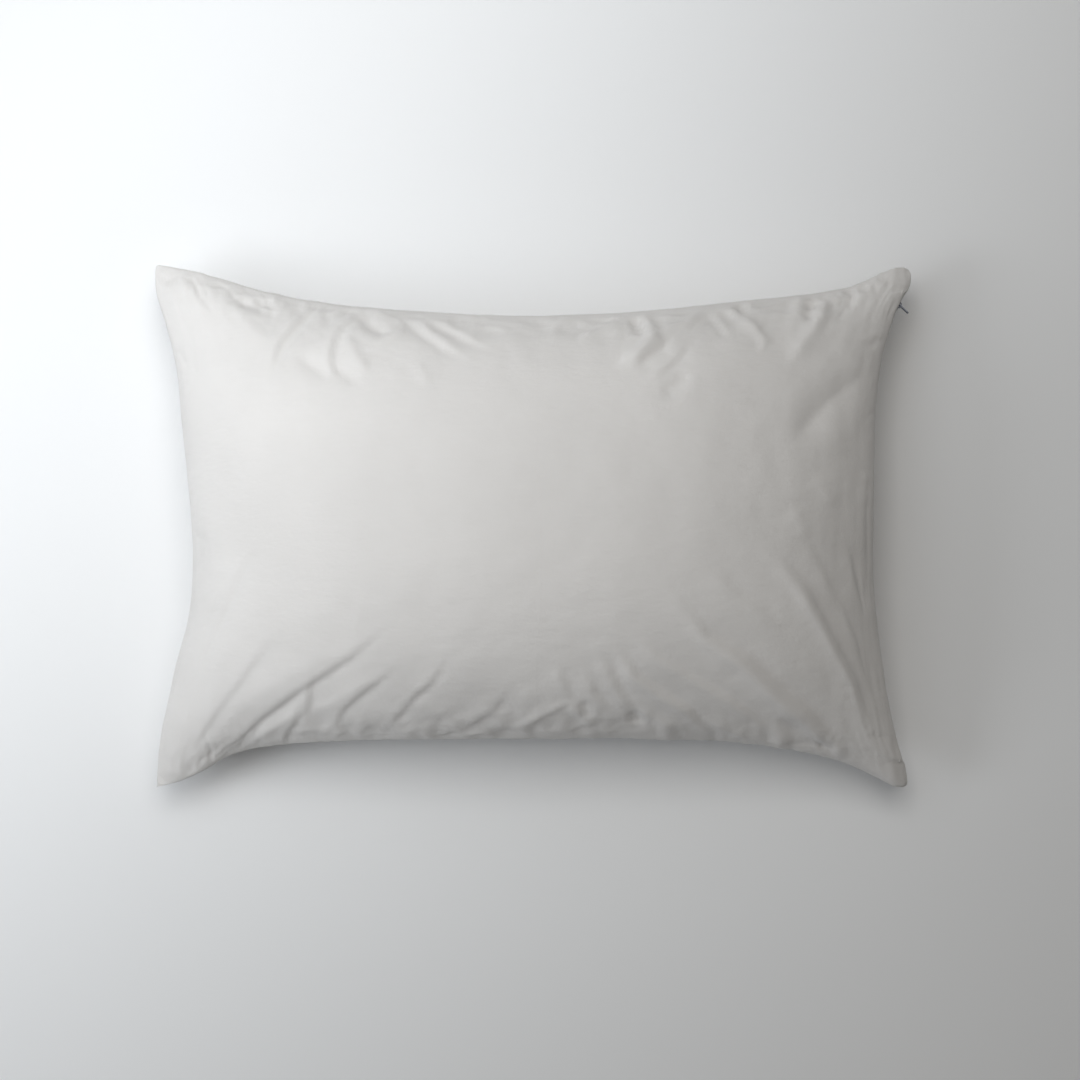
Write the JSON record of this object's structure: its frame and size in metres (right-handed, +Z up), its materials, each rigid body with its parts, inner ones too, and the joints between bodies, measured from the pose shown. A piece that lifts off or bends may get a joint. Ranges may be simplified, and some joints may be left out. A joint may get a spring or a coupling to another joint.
{
  "type": "bed pillow",
  "caption": "Plump rectangular bed pillow: a plain off-white cotton cover with a coil zip along one short side, over a stuffed inner pillow.",
  "frame": {"origin": "on the surface that the pillow lies on, under its middle", "axes": "+X along the pillow towards its zipped end, +Y across it towards the end of the zip where the closed slider rests, +Z up"},
  "size_m": [0.676, 0.47, 0.19],
  "materials": {
    "cotton_percale": "plain woven cotton, matt",
    "inner_ticking": "non-woven or plain woven lining, matt",
    "polyester_fibre": "white polyester wadding",
    "zip_tape": "woven polyester tape, matt",
    "zip_nylon": "nylon monofilament, satin",
    "sewing_thread": "polyester thread",
    "slider_metal": "dark gunmetal coating, satin"
  },
  "bodies": {
    "pillow": {"cover_top_panel": "cotton_percale", "cover_bottom_panel": "cotton_percale", "seam_overlock_left": "sewing_thread", "seam_overlock_front": "sewing_thread", "seam_overlock_rear": "sewing_thread", "zip_tape_upper": "zip_tape", "zip_tape_lower": "zip_tape", "zip_coil_upper": "zip_nylon", "zip_coil_lower": "zip_nylon", "zip_stitching_upper": "sewing_thread", "zip_stitching_lower": "sewing_thread", "zip_top_stop_upper": "slider_metal", "zip_top_stop_lower": "slider_metal", "zip_bottom_stop": "slider_metal", "inner_case_top": "inner_ticking", "inner_case_bottom": "inner_ticking", "inner_case_overlock": "sewing_thread", "fibre_fill": "polyester_fibre"},
    "zip_slider": {"zip_slider_body": "slider_metal"},
    "zip_tab": {"zip_pull_tab": "slider_metal"}
  },
  "joints": [
    {"name": "zip_slide", "type": "hinge", "parent": "pillow", "child": "zip_slider", "pos_m": [0.66155, 0, -0.28889], "axis": [0.716, 0, 0.6981], "range_deg": [0, 44.4], "deforming": ["zip_coil_upper", "zip_coil_lower"]},
    {"name": "pull_tab_swing", "type": "hinge", "parent": "zip_slider", "child": "zip_tab", "pos_m": [0.32682, 0.19675, 0.05733], "axis": [-0.0371, -0.2708, -0.9619], "range_deg": [-110, 52]}
  ]
}
